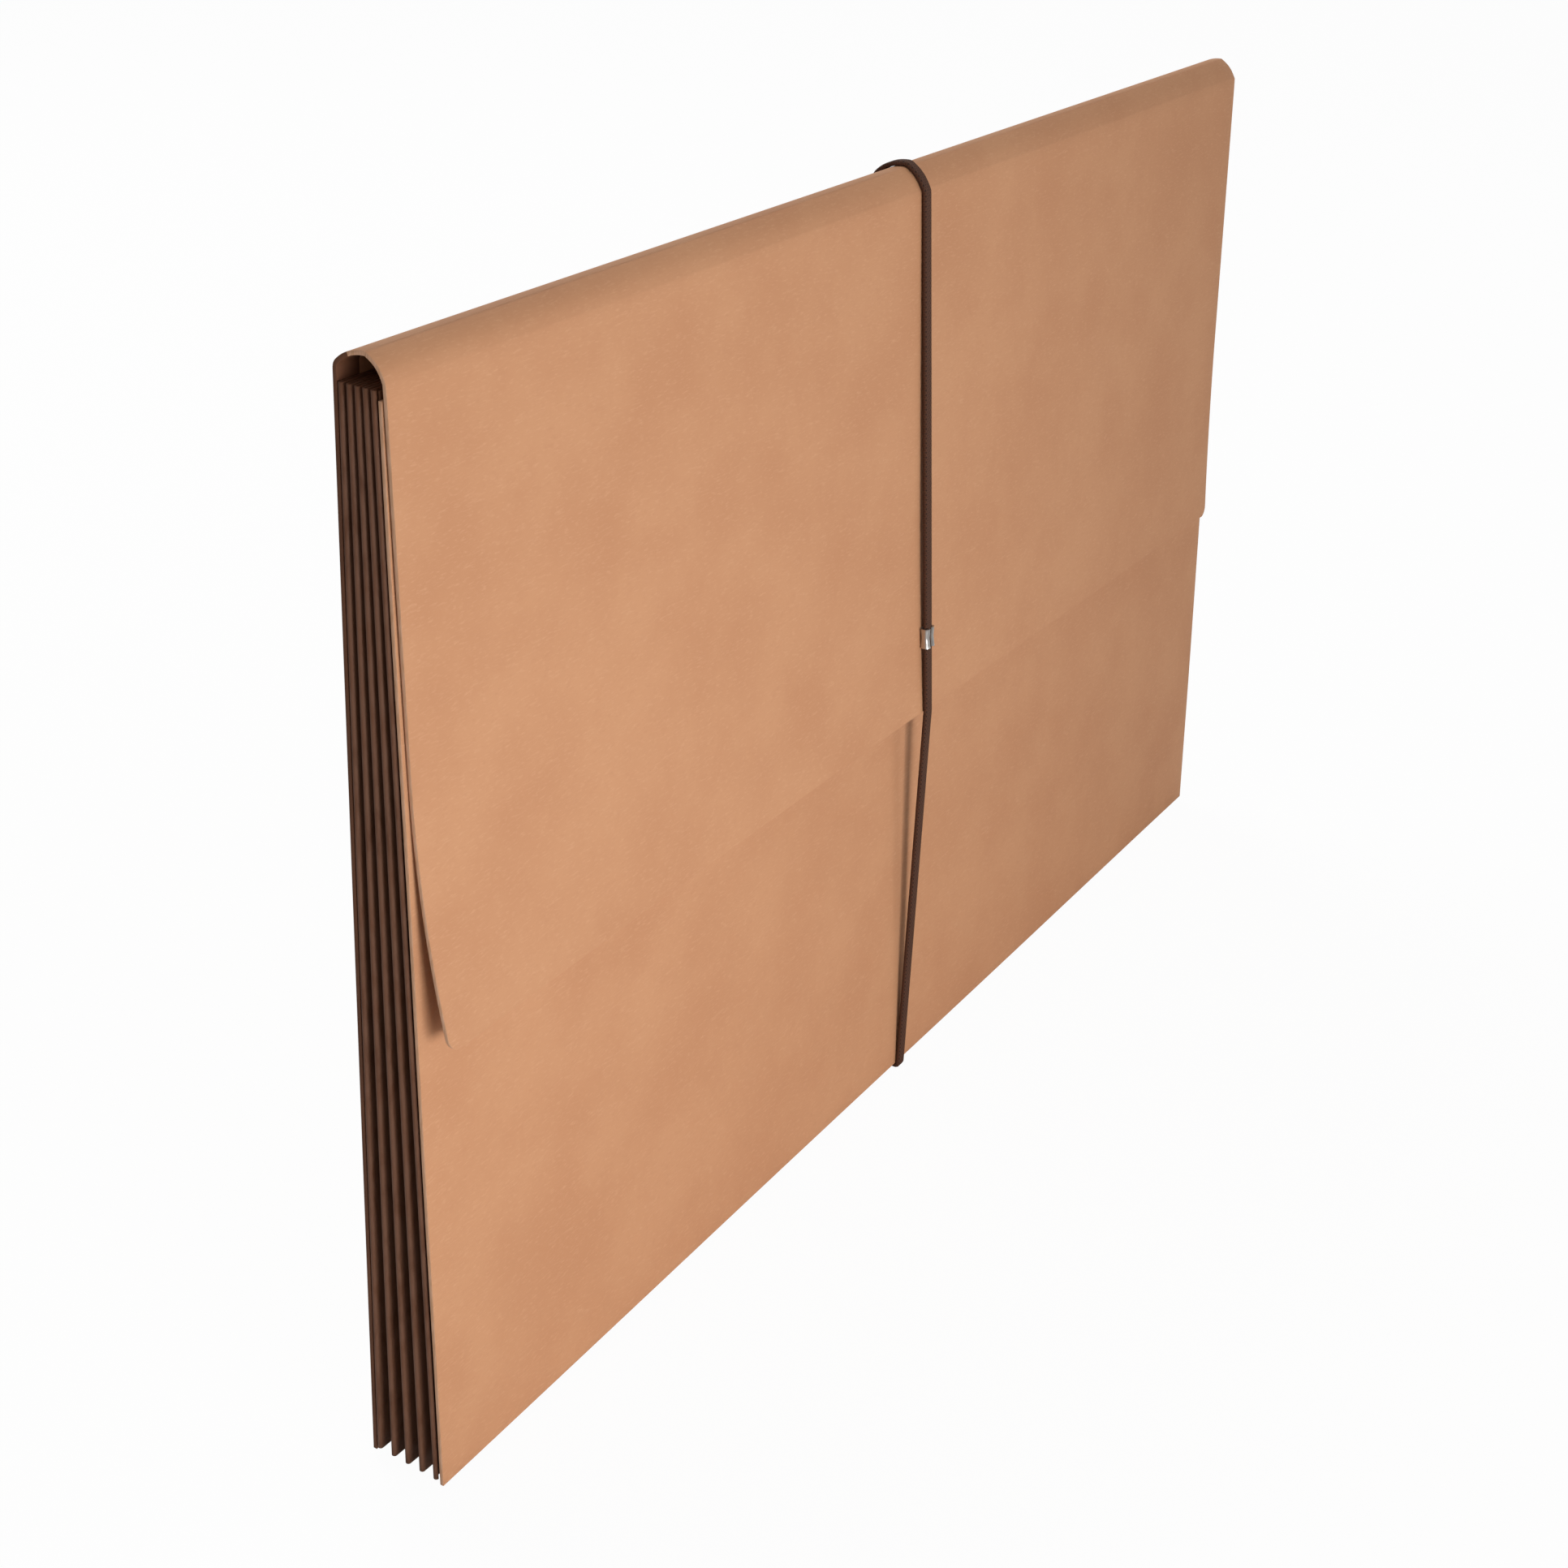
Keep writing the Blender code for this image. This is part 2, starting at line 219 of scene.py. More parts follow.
# %% [markdown]
# Kraft board is pressed pulp. Seen close, it has cloudy patches a few centimetres across, fine pale fibres
# and coarser dark strands that lie mostly along the width, and a tooth. The four layers are four noises on
# the object's own place, two of them stretched along the width. The cut edges show the paler inside of the
# board.

# %% Board finishes
KRAFT = (0.545, 0.275, 0.142, 1.0)
KRAFT_DARK = (0.50, 0.240, 0.121, 1.0)
KRAFT_PALE = (0.60, 0.325, 0.185, 1.0)
CORE = (0.72, 0.43, 0.28, 1.0)


def board_finish():
    made, shader, place = new_finish("kraft_board_finish", 0.72, Specular_IOR_Level=0.3)
    cloud = noise(place, scale=38.0, detail=6.0, roughness=0.6)
    fibres = noise(stretched(place, (0.25, 1.0, 1.0)), scale=2400.0, detail=2.0)
    strands = noise(stretched(place, (0.45, 1.0, 1.0)), scale=900.0, roughness=0.65)
    tooth = noise(place, scale=2600.0, detail=2.0)
    tint = mix_colour(cloud.smooth(0.3, 0.72), KRAFT, KRAFT_DARK)
    tint = mix_colour(fibres.smooth(0.5, 0.8) * 0.6, tint, KRAFT_PALE)
    tint = mix_colour(strands.smooth(0.5, 0.8) * 0.6, tint, KRAFT_DARK)
    feed(shader, "Base Color", tint)
    feed(shader, "Roughness", 0.64 + tooth * 0.18)
    bump(shader, fibres * 0.5 + tooth * 0.3 + strands * 0.6, millimetres=0.09, strength=0.35)
    return made


def edge_finish():
    made, shader, place = new_finish("board_edge_finish", 0.85, Specular_IOR_Level=0.2)
    layers = noise(stretched(place, (0.1, 1.0, 0.1)), scale=3000.0, detail=2.0)
    feed(shader, "Base Color", mix_colour(layers.smooth(0.35, 0.7), CORE, KRAFT_PALE))
    bump(shader, layers, millimetres=0.05, strength=0.4)
    return made


board_surface = board_finish()
board_edge = edge_finish()
print("board finishes", board_surface.name, board_edge.name)

# %% [markdown]
# The gusset is a tough dark paper with a cloth-like tooth. Handling polishes its outer folds, and the finish
# paints them lighter, partly as wear and partly as a painted highlight along the folds, so the tree that
# folds it also writes how close each point is to an outer fold, and the finish reads that.

# %% Gusset finish
UMBER = (0.150, 0.060, 0.030, 1.0)
UMBER_DARK = (0.110, 0.043, 0.021, 1.0)
# Lighter colour of the outer folds: wear, and a painted highlight along them.
UMBER_WEAR_AND_HIGHLIGHT = (0.172, 0.080, 0.047, 1.0)


def gusset_finish():
    made, shader, place = new_finish("gusset_paper_finish", 0.55, Specular_IOR_Level=0.2)
    wear_and_highlight = stored(made, "ridge")
    cloud = noise(place, scale=60.0, detail=4.0)
    scuff = noise(stretched(place, (1.0, 1.0, 0.25)), scale=700.0)
    tooth = noise(place, scale=3200.0, detail=1.0)
    tint = mix_colour(cloud.smooth(0.3, 0.7), UMBER, UMBER_DARK)
    # The outer folds are painted lighter, as wear and as a painted highlight.
    tint = mix_colour(wear_and_highlight * scuff.smooth(0.25, 0.65), tint, UMBER_WEAR_AND_HIGHLIGHT)
    feed(shader, "Base Color", tint)
    feed(shader, "Roughness", 0.62 - wear_and_highlight * 0.12 + tooth * 0.1)
    bump(shader, tooth + scuff, millimetres=0.06, strength=0.35)
    return made


gusset_surface = gusset_finish()
print("gusset finish", gusset_surface.name)

# %% [markdown]
# The elastic is a flat braid: fine yarns cross over it in two slanting directions. The sweep that makes it
# writes the distance along it, and the place across comes from the object. Two sines of their sum and
# difference give the crossing yarns. The clip is bright plated metal with fine lines from its bending.

# %% Elastic and clip finishes
YARN = (0.080, 0.031, 0.016, 1.0)
YARN_DARK = (0.022, 0.009, 0.005, 1.0)
YARNS_ACROSS = 1350.0
YARNS_ALONG = 820.0
PLATING = (0.60, 0.58, 0.55, 1.0)
PLATING_DULL = (0.42, 0.40, 0.38, 1.0)


def elastic_finish():
    made, shader, place = new_finish("elastic_braid_finish", 0.8, Specular_IOR_Level=0.25)
    along = stored(made, "along")
    across = place.node("ShaderNodeSeparateXYZ", None, {0: place})
    turns = across * (YARNS_ACROSS * 2 * math.pi)
    rows = along * (YARNS_ALONG * 2 * math.pi)
    rising = turns.math("SINE", turns + rows)
    falling = turns.math("SINE", turns - rows)
    weave = turns.math("MAXIMUM", rising, falling) * 0.5 + 0.5
    fluff = noise(place, scale=4000.0, detail=2.0)
    feed(shader, "Base Color", mix_colour(weave.smooth(0.15, 0.9), YARN_DARK, YARN))
    feed(shader, "Roughness", 0.7 + fluff * 0.2)
    bump(shader, weave + fluff * 0.3, millimetres=0.16, strength=0.8)
    return made


def clip_finish():
    made, shader, place = new_finish("clip_plating_finish", 0.3, Metallic=1.0)
    lines = noise(stretched(place, (0.2, 1.0, 3.0)), scale=2400.0, detail=2.0)
    feed(shader, "Base Color", mix_colour(lines, PLATING_DULL, PLATING))
    feed(shader, "Roughness", 0.22 + lines * 0.2)
    return made


elastic_surface = elastic_finish()
clip_surface = clip_finish()
print("elastic and clip finishes ready")

# %% [markdown]
# A bent board is a line in the side view, drawn out along the width. The helper below makes it as a closed
# sheet with its own thickness and with rows of faces along the line, so that it can bend smoothly across a
# crease. The border faces take the pale cut edge, unless another surface is given as edge. That one is
# turned over the sides, so it also covers the outer columns of the inner face.

# %% Bent sheet
EDGE_ROUND = 0.12 * MM
EDGE_ANGLE = math.radians(50)
SHARP_ANGLE = math.radians(40)


def line_normals(line):
    normals = []
    for index in range(len(line)):
        before = Vector(line[max(index - 1, 0)])
        after = Vector(line[min(index + 1, len(line) - 1)])
        run = (after - before).normalized()
        normals.append(Vector((-run.y, run.x)))
    return normals


def bent_sheet(name, line, columns, half_width=None, lift=None, edge=None):
    """half_width takes a row's number, and lift a row's number and the place across, from -1 to 1."""
    made = bmesh.new()
    normals = line_normals(line)
    sides = []
    for side in (1, -1):
        rows = []
        for row, (point, normal) in enumerate(zip(line, normals)):
            reach = half_width(row) if half_width else HALF_WIDTH
            verts = []
            for column in range(columns + 1):
                across = 2 * column / columns - 1
                raised = lift(row, across) if lift else 0.0
                y, z = Vector(point) + normal * (side * BOARD / 2 + raised)
                verts.append(made.verts.new((across * reach, y, z)))
            rows.append(verts)
        sides.append(rows)
    upper, lower = sides
    last = len(line) - 1
    for row in range(last):
        for column in range(columns):
            after = column + 1
            ring = (upper[row][column], upper[row][after], upper[row + 1][after], upper[row + 1][column])
            turned_over = edge and column in (0, columns - 1)
            made.faces.new(ring).material_index = 1 if turned_over else 0
            ring = (lower[row][column], lower[row + 1][column], lower[row + 1][after], lower[row][after])
            made.faces.new(ring)
    for row in range(last):
        for column in (0, columns):
            ring = (upper[row][column], upper[row + 1][column], lower[row + 1][column], lower[row][column])
            made.faces.new(ring).material_index = 1
    for column in range(columns):
        for row in (0, last):
            ring = (upper[row][column], upper[row][column + 1], lower[row][column + 1], lower[row][column])
            made.faces.new(ring).material_index = 1
    bmesh.ops.recalc_face_normals(made, faces=made.faces)
    mesh = bpy.data.meshes.new(name)
    made.to_mesh(mesh)
    made.free()
    mesh.materials.append(board_surface)
    mesh.materials.append(edge or board_edge)
    sheet = bpy.data.objects.new(name, mesh)
    bpy.context.scene.collection.objects.link(sheet)
    return sheet


def soften_edges(sheet):
    rounding = sheet.modifiers.new("rounded_edge", "BEVEL")
    rounding.width = EDGE_ROUND
    rounding.segments = 2
    rounding.limit_method = "ANGLE"
    rounding.angle_limit = EDGE_ANGLE
    settled = bpy.data.meshes.new_from_object(sheet.evaluated_get(bpy.context.evaluated_depsgraph_get()))
    sheet.modifiers.clear()
    sheet.data = settled
    settled.shade_smooth()
    settled.set_sharp_from_angle(angle=SHARP_ANGLE)
    return sheet


def straight(start, end, steps):
    first, last = Vector(start), Vector(end)
    return [tuple(first.lerp(last, step / steps)) for step in range(steps + 1)]


print("sheet helper ready")

# %% [markdown]
# The front board is a plain flat sheet that leans in towards the mouth. Its faces are left very slightly
# uneven, as pressed board is, so that soft light rolls over it.

# %% Front board
BOARD_COLUMNS = 64
BOARD_ROWS = 48
UNEVEN = 0.12 * MM
RISING_WAVE = (2.3, 0.16)
FALLING_WAVE = (3.1, -0.09)


def uneven(row, across):
    rising = math.sin(RISING_WAVE[0] * across + RISING_WAVE[1] * row)
    falling = math.cos(FALLING_WAVE[0] * across + FALLING_WAVE[1] * row)
    return UNEVEN * rising * falling


def front_y(height):
    return FRONT_MIDDLE + TOP_TAPER * (height - BASE_Z) / HEIGHT


front_line = straight((FRONT_MIDDLE, BASE_Z), (front_y(front_high.z), front_high.z), BOARD_ROWS)
front_board = soften_edges(bent_sheet("front_board", front_line, BOARD_COLUMNS, None, uneven))
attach(front_board, "front")
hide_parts("front_panel")
print("front board", len(front_board.data.polygons), "faces")

# %% [markdown]
# The back board, the roof over the mouth and the flap are one long sheet in the real pocket. It turns on two
# creases and reaches further as the pocket fills, so it is cut where those motions meet: at the middle of the
# roof and at its highest point.

# %% The long sheet's line
RIGHT_ANGLE = math.pi / 2
ARC_STEPS = 16
CORNER_CUT = 0.25


def arc(centre, radius, start, end, steps):
    points = []
    for step in range(steps + 1):
        angle = start + (end - start) * step / steps
        points.append((centre[0] - radius * math.cos(angle), centre[1] + radius * math.sin(angle)))
    return points


def cut_corners(points, passes):
    for _ in range(passes):
        eased = [points[0]]
        for first, second in zip(points, points[1:]):
            eased.append(tuple(Vector(first).lerp(Vector(second), CORNER_CUT)))
            eased.append(tuple(Vector(first).lerp(Vector(second), 1 - CORNER_CUT)))
        points = eased + [points[-1]]
    return points


def hang_y(height):
    return front_y(height) - BOARD - FLAP_STANDOFF


roof_start = (BACK_MIDDLE, TOP_Z + CREASE_GAP + BOARD / 2 * math.sin(ROOF_SLOPE))
apex = (
    roof_start[0] - ROOF_RADIUS * math.sin(ROOF_SLOPE),
    roof_start[1] + ROOF_RADIUS * (1 - math.cos(ROOF_SLOPE)),
)
roof = arc((apex[0], apex[1] - ROOF_RADIUS), ROOF_RADIUS, RIGHT_ANGLE + ROOF_SLOPE, RIGHT_ANGLE, ARC_STEPS)
fold_start = (apex[0] - CREASE_GAP, apex[1])
fold_radius = fold_start[0] - hang_y(TOP_Z)
fold_centre = (fold_start[0], apex[1] - fold_radius)
fold = arc(fold_centre, fold_radius, RIGHT_ANGLE, 0.0, ARC_STEPS)
FLAP_LOW_Z = hang_low.z + BOARD / 2 * math.sin(math.atan(2 * FLAP_CURL / FLAP_CURL_LENGTH))
print("roof top", round(apex[1] / MM, 1), "fold radius", round(fold_radius / MM, 1))

# %% [markdown]
# The back board runs straight up, and a tight rounded crease turns it into the roof. Turning the flap bends
# that crease. The side edges of the back board, and a strip along them on the inner face, take the dark
# gusset finish.

# %% Back board and its crease
ROOF_MIDDLE = ARC_STEPS // 2
STRAIGHT_END = TOP_Z - 2.4 * MM
CREASE_LOW = TOP_Z - 1.4 * MM
CREASE_TIP = TOP_Z + 0.3 * MM
CREASE_PASSES = 2
crease_corner = [(BACK_MIDDLE, CREASE_LOW), (BACK_MIDDLE, CREASE_TIP)] + roof[1 : ROOF_MIDDLE + 1]
back_line = straight((BACK_MIDDLE, BASE_Z), (BACK_MIDDLE, STRAIGHT_END), BOARD_ROWS)
back_line += cut_corners(crease_corner, CREASE_PASSES)
# The side edges and a strip on the inner face take the dark gusset finish.
back_board = bent_sheet("back_board", back_line, BOARD_COLUMNS, None, None, gusset_surface)
soften_edges(back_board)
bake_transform(back_board)
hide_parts("back_panel")
print("back board", len(back_board.data.polygons), "faces")

# %% [markdown]
# The rest of the roof is the stretch that reaches over a fuller pocket.

# %% Roof
ROOF_SPLIT = 3
REACH_INSET = 0.2 * MM
roof_rest = roof[ROOF_MIDDLE:] + [fold_start]
roof_line = []
for first, second in zip(roof_rest, roof_rest[1:]):
    roof_line += straight(first, second, ROOF_SPLIT)[:-1]
roof_line.append(roof_rest[-1])
roof_sheet = soften_edges(bent_sheet("flap_roof_sheet", roof_line, BOARD_COLUMNS))
ROOF_REACH_BACK = (0, roof_rest[0][0] - REACH_INSET, apex[1])
ROOF_REACH_FRONT = (0, fold_start[0] + REACH_INSET, apex[1])
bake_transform(roof_sheet)
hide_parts("flap_roof")
print("roof rows", len(roof_line))

# %% [markdown]
# The flap turns down over the front through a soft fold, lies close to the front board and then curls out
# towards its lower edge. The fold is pressed flatter than a round arch, least at the left end. Under the
# elastic the flap swells above the curl, so it hangs nearly straight there. Its lower corners are slightly
# rounded. The left one stands further off the board than the right one, and the right one hangs lower.
# Opening the flap unrolls the fold.

# %% Flap
FLAP_ROWS = 44
CORNER_ROUND = 3.0 * MM
CORNER_ROWS = 6
LEFT_LIFT = 2.4 * MM
RIGHT_DROP = 3.2 * MM
EDGE_TRIM = 4.5 * MM
SIDE_TRIM = 1.5 * MM
MIDDLE_SWELL = 0.75
PRESSED_CLOSE = 0.5 * MM
FOLD_FLAT = 0.62
LEFT_FLAT = 0.42
FLAT_FROM_LEFT = 0.8
LEFT_POWER = 2.5
RIGHT_POWER = 1.5
UNROLL_HIGH = apex[1] - 2 * MM
UNROLL_DROP = 9 * MM


def hang_point(height):
    share = max(0.0, min(1.0, (FLAP_LOW_Z + FLAP_CURL_LENGTH - height) / FLAP_CURL_LENGTH))
    return (hang_y(height) - FLAP_CURL * share * share, height)


hang_top = fold_centre[1]
flap_end = FLAP_LOW_Z + EDGE_TRIM
round_top = flap_end + CORNER_ROUND
heights = [hang_top + (round_top - hang_top) * step / FLAP_ROWS for step in range(1, FLAP_ROWS + 1)]
turns = [RIGHT_ANGLE * step / CORNER_ROWS for step in range(1, CORNER_ROWS + 1)]
heights += [round_top - CORNER_ROUND * math.sin(turn) for turn in turns]
flap_line = fold + [hang_point(height) for height in heights]


def hung(height):
    return max(0.0, (hang_top - height) / (hang_top - flap_end))


def flap_half_width(row):
    height = flap_line[row][1]
    below = max(0.0, round_top - height) / CORNER_ROUND
    rounded_off = CORNER_ROUND * (1 - math.sqrt(max(0.0, 1 - below * below)))
    return HALF_WIDTH - SIDE_TRIM * hung(height) - rounded_off


def fold_flattened(row, across):
    turn = RIGHT_ANGLE * (1 - min(row, ARC_STEPS) / ARC_STEPS) - RIGHT_ANGLE / 2
    sagitta = fold_radius * (1 - math.cos(RIGHT_ANGLE / 2) / math.cos(turn))
    towards_middle = min(1.0, (1 + across) / FLAT_FROM_LEFT)
    eased = towards_middle * towards_middle * (3 - 2 * towards_middle)
    return sagitta * (LEFT_FLAT + (FOLD_FLAT - LEFT_FLAT) * eased)


def flap_lift(row, across):
    y, height = flap_line[row]
    curled = max(0.0, (hang_y(height) - y) / FLAP_CURL)
    sideways = RIGHT_DROP * max(0.0, across) ** RIGHT_POWER - LEFT_LIFT * max(0.0, -across) ** LEFT_POWER
    swell = MIDDLE_SWELL * FLAP_CURL * max(0.0, hung(height) - curled) * (1 - across * across) ** 2
    close = PRESSED_CLOSE * min(1.0, row / ARC_STEPS) * (1 - curled)
    return curled * sideways - swell + close + fold_flattened(row, across)


flap_sheet = soften_edges(bent_sheet("flap_sheet", flap_line, BOARD_COLUMNS, flap_half_width, flap_lift))
for vertex in flap_sheet.data.vertices:
    vertex.co.z -= EDGE_TRIM * max(0.0, vertex.co.x / HALF_WIDTH) * hung(vertex.co.z)
unroll_start = (0, hang_y(TOP_Z), UNROLL_HIGH)
unroll_end = (0, hang_y(TOP_Z), hang_top - UNROLL_DROP)
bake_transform(flap_sheet)
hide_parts("flap_fold", "flap_front")
print("flap", len(flap_sheet.data.polygons), "faces, lower edge at", round(flap_end / MM, 1), "mm")

# %% [markdown]
# The gussets repeat one shape: half a leaf, a tight rounded fold and half of the next leaf. Its rule is
# simple enough for a node tree. A flat grid carries two numbers, how far across the fold a point is and how
# far along the crease. Sums of sines place it on the two leaves and on the round between them. Slow noise
# bends the leaves together, as handled paper does, and fades out towards the boards.

# %% Tree inputs
FOLD_INPUTS = {
    "Outer Edge": ("NodeSocketVector", (0.0, 0.0, 0.0)),
    "Leaves Behind": ("NodeSocketFloat", 0.0),
    "Into Pocket": ("NodeSocketVector", (1.0, 0.0, 0.0)),
    "Along Crease": ("NodeSocketVector", (0.0, 0.0, 1.0)),
    "Fold Side": ("NodeSocketFloat", 1.0),
    "Glued Before": ("NodeSocketFloat", 0.0),
    "Leaf Depth": ("NodeSocketFloat", LEAF_DEPTH),
    "Leaf Pitch": ("NodeSocketFloat", LEAF_PITCH),
    "Low Angle": ("NodeSocketFloat", LOW_REST_ANGLE),
    "Top Angle": ("NodeSocketFloat", TOP_REST_ANGLE),
    "Length Before": ("NodeSocketFloat", 0.01),
    "Length After": ("NodeSocketFloat", 0.01),
    "Low End": ("NodeSocketFloat", 0.0),
    "High End": ("NodeSocketFloat", 0.1),
    "Low Limit": ("NodeSocketFloat", -1.0),
    "Low Mitre": ("NodeSocketFloat", 0.0),
    "High Mitre": ("NodeSocketFloat", 0.0),
    "Waviness": ("NodeSocketFloat", 0.0),
}


def new_tree(name, inputs):
    tree = bpy.data.node_groups.new(name, "GeometryNodeTree")
    tree.interface.new_socket("Geometry", in_out="OUTPUT", socket_type="NodeSocketGeometry")
    tree.interface.new_socket("Geometry", in_out="INPUT", socket_type="NodeSocketGeometry")
    for socket, (kind, value) in inputs.items():
        made = tree.interface.new_socket(socket, in_out="INPUT", socket_type=kind)
        made.default_value = value
    entry = tree.nodes.new("NodeGroupInput")
    return tree, {socket.name: Wire(socket) for socket in entry.outputs if socket.name}


def close_tree(tree, geometry, material):
    smooth = geometry.node("GeometryNodeSetShadeSmooth", None, {0: geometry})
    real = smooth.node("GeometryNodeRealizeInstances", None, {0: smooth})
    finished = real.node("GeometryNodeSetMaterial", None, {0: real, "Material": material})
    leaving = tree.nodes.new("NodeGroupOutput")
    tree.links.new(finished.socket, leaving.inputs[0])


print("fold inputs", len(FOLD_INPUTS))

# %% [markdown]
# Below, across runs from -1 on the leaf before the crease to 1 on the leaf after it. The middle part of
# that span wraps the round of the fold, and the rest runs straight down the leaves.

# %% Fold tree
ROUND_SHARE = 0.4
WEAR_AND_HIGHLIGHT_INSIDE = ROUND_SHARE * 0.5
WEAR_AND_HIGHLIGHT_UNTIL = ROUND_SHARE * 1.12
FOLD_COLUMNS = 23
FOLD_ROWS = 48
WAVE_SEED = 4.0
WAVE_SCALE = 8.0
MERGE_DISTANCE = 1e-6
FIRST_CREASE_Y = CREASES["left_crease_1"]["pos_m"][1]


def choose(first_if, when, otherwise):
    return when * first_if + (1 - when) * otherwise


def scaled(vector, amount):
    return vector.node("ShaderNodeVectorMath", {"operation": "SCALE"}, {0: vector, "Scale": amount})


def summed(first, second):
    return first.node("ShaderNodeVectorMath", {"operation": "ADD"}, {0: first, 1: second})


def fold_tree():
    tree, given = new_tree("gusset_fold", FOLD_INPUTS)
    sizes = {"Size X": 2.0, "Size Y": 1.0, "Vertices X": FOLD_COLUMNS, "Vertices Y": FOLD_ROWS}
    grid = add_node(tree, "GeometryNodeMeshGrid", None, sizes)
    place = add_node(tree, "GeometryNodeInputPosition")
    across = place.node("ShaderNodeSeparateXYZ", None, {0: place}, 0)
    along = place.node("ShaderNodeSeparateXYZ", None, {0: place}, 1) + 0.5
    before = across < 0.0
    sign = 1 - 2 * before
    far = abs(across)
    length = choose(given["Length Before"], before, given["Length After"])
    down = far.math("MAXIMUM", far - ROUND_SHARE, 0.0) / (1 - ROUND_SHARE) * length
    inner = given["Fold Side"] > 0.0
    depth = choose(given["Leaf Depth"] - down, inner, down)
    low = depth.math("MAXIMUM", given["Low End"] + given["Low Mitre"] * depth, given["Low Limit"])
    high = given["High End"] + given["High Mitre"] * depth
    reach = low + (high - low) * along
    lying = given["Along Crease"].node("ShaderNodeSeparateXYZ", None, {0: given["Along Crease"]}, 0)
    height = choose(BASE_Z + depth, lying, reach)
    lean = (height - BASE_Z) / HEIGHT
    angle = given["Low Angle"] + (given["Top Angle"] - given["Low Angle"]) * lean
    leaf_sin = angle.math("SINE", angle)
    leaf_cos = angle.math("COSINE", angle)
    crease = given["Leaves Behind"] * (given["Leaf Depth"] * leaf_sin + given["Leaf Pitch"] * leaf_cos)
    crease_depth = inner * (given["Leaf Depth"] * leaf_cos - given["Leaf Pitch"] * leaf_sin)
    own_angle = angle * (1 - before * given["Glued Before"])
    turn = far.math("MINIMUM", far / ROUND_SHARE, 1.0) * (math.pi / 2 - own_angle)
    radius = given["Leaf Pitch"] * 0.5
    outward = radius * turn.math("COSINE", turn) - down * own_angle.math("COSINE", own_angle)
    forward = crease + sign * (radius * turn.math("SINE", turn) + down * own_angle.math("SINE", own_angle))
    bent = scaled(given["Into Pocket"], crease_depth + outward * given["Fold Side"])
    bent = summed(bent, scaled(given["Along Crease"], reach))
    bent = summed(bent, given["Outer Edge"])
    bent = summed(bent, bent.node("ShaderNodeCombineXYZ", None, {"Y": FIRST_CREASE_Y - forward}))
    span = LEAF_COUNT * (given["Leaf Depth"] * leaf_sin + given["Leaf Pitch"] * leaf_cos)
    between = forward / span
    free = between.math("MAXIMUM", between * (1 - between) * 4, 0.0)
    wave_sockets = {"Vector": bent, "W": WAVE_SEED, "Scale": WAVE_SCALE, "Detail": 1.0}
    wave = bent.node("ShaderNodeTexNoise", {"noise_dimensions": "4D"}, wave_sockets)
    sway = (wave - 0.5) * given["Waviness"] * free
    shift = bent.node("ShaderNodeCombineXYZ", None, {"Y": sway})
    moved = grid.node("GeometryNodeSetPosition", None, {0: grid, "Position": summed(bent, shift)})
    outer = given["Fold Side"] < 0.0
    # Nearness to an outer fold, where wear and a painted highlight go.
    wear_and_highlight = outer * (1 - far.smooth(WEAR_AND_HIGHLIGHT_INSIDE, WEAR_AND_HIGHLIGHT_UNTIL))
    store = {0: moved, "Name": "ridge", "Value": wear_and_highlight}
    marked = moved.node("GeometryNodeStoreNamedAttribute", {"data_type": "FLOAT"}, store)
    whole = marked.node("GeometryNodeMergeByDistance", None, {0: marked, "Distance": MERGE_DISTANCE})
    close_tree(tree, whole, gusset_surface)
    return tree


fold_group = fold_tree()
print("fold tree nodes", len(fold_group.nodes))

# %% [markdown]
# A tree runs on a carrier object. Its inputs are set by their identifiers before the first evaluation, the
# paper gets its thickness from Solidify, and the result is taken off as a plain mesh.

# %% Running a tree
def run_tree(name, tree, values, source=None, thickness=0.0):
    carrier = bpy.data.objects.new(name + "_carrier", source or bpy.data.meshes.new(name + "_source"))
    bpy.context.scene.collection.objects.link(carrier)
    modifier = carrier.modifiers.new("shape", "NODES")
    modifier.node_group = tree
    for item in tree.interface.items_tree:
        if item.in_out == "INPUT" and item.name in values:
            modifier[item.identifier] = values[item.name]
    if thickness:
        wall = carrier.modifiers.new("paper", "SOLIDIFY")
        wall.thickness = thickness
        wall.offset = 0.0
    evaluated = carrier.evaluated_get(bpy.context.evaluated_depsgraph_get())
    mesh = bpy.data.meshes.new_from_object(evaluated)
    mesh.name = name
    bpy.data.objects.remove(carrier, do_unlink=True)
    made = bpy.data.objects.new(name, mesh)
    bpy.context.scene.collection.objects.link(made)
    return made


print("tree runner ready")

# %% [markdown]
# Each crease of each gusset gets one fold, from the middle of the leaf behind it to the middle of the leaf in
# front. The first fold also carries the glued strip on the back board, and the last leaf ends in a closed
# round at the front. At the lower corners the side leaves keep a strip that runs down to the base, and the
# bottom leaves start where it ends, so the two meet along one slanting line.

# %% Gusset folds
WAVINESS = 0.5 * MM
EDGE_INSET = 0.5 * MM
SLIT_SHARE = 0.9
GUSSET_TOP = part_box("left_gusset_leaf_2")[1].z
GUSSET_LOW = BASE_Z + EDGE_INSET + CREASE_GAP
GUSSET_HALF = HALF_WIDTH - EDGE_INSET - CREASE_GAP
HALF_LEAF = LEAF_DEPTH / 2
CORNER_STRIP = 5.0 * MM
SIDE_LOW = GUSSET_LOW - CORNER_STRIP
BOTTOM_HALF = GUSSET_HALF - CORNER_STRIP
GUSSETS = {
    "left": ((1.0, 0.0, 0.0), (0.0, 0.0, 1.0), SIDE_LOW, GUSSET_TOP, 1.0, 0.0),
    "right": ((-1.0, 0.0, 0.0), (0.0, 0.0, 1.0), SIDE_LOW, GUSSET_TOP, 1.0, 0.0),
    "bottom": ((0.0, 0.0, 1.0), (1.0, 0.0, 0.0), -BOTTOM_HALF, BOTTOM_HALF, 1.0, -1.0),
}


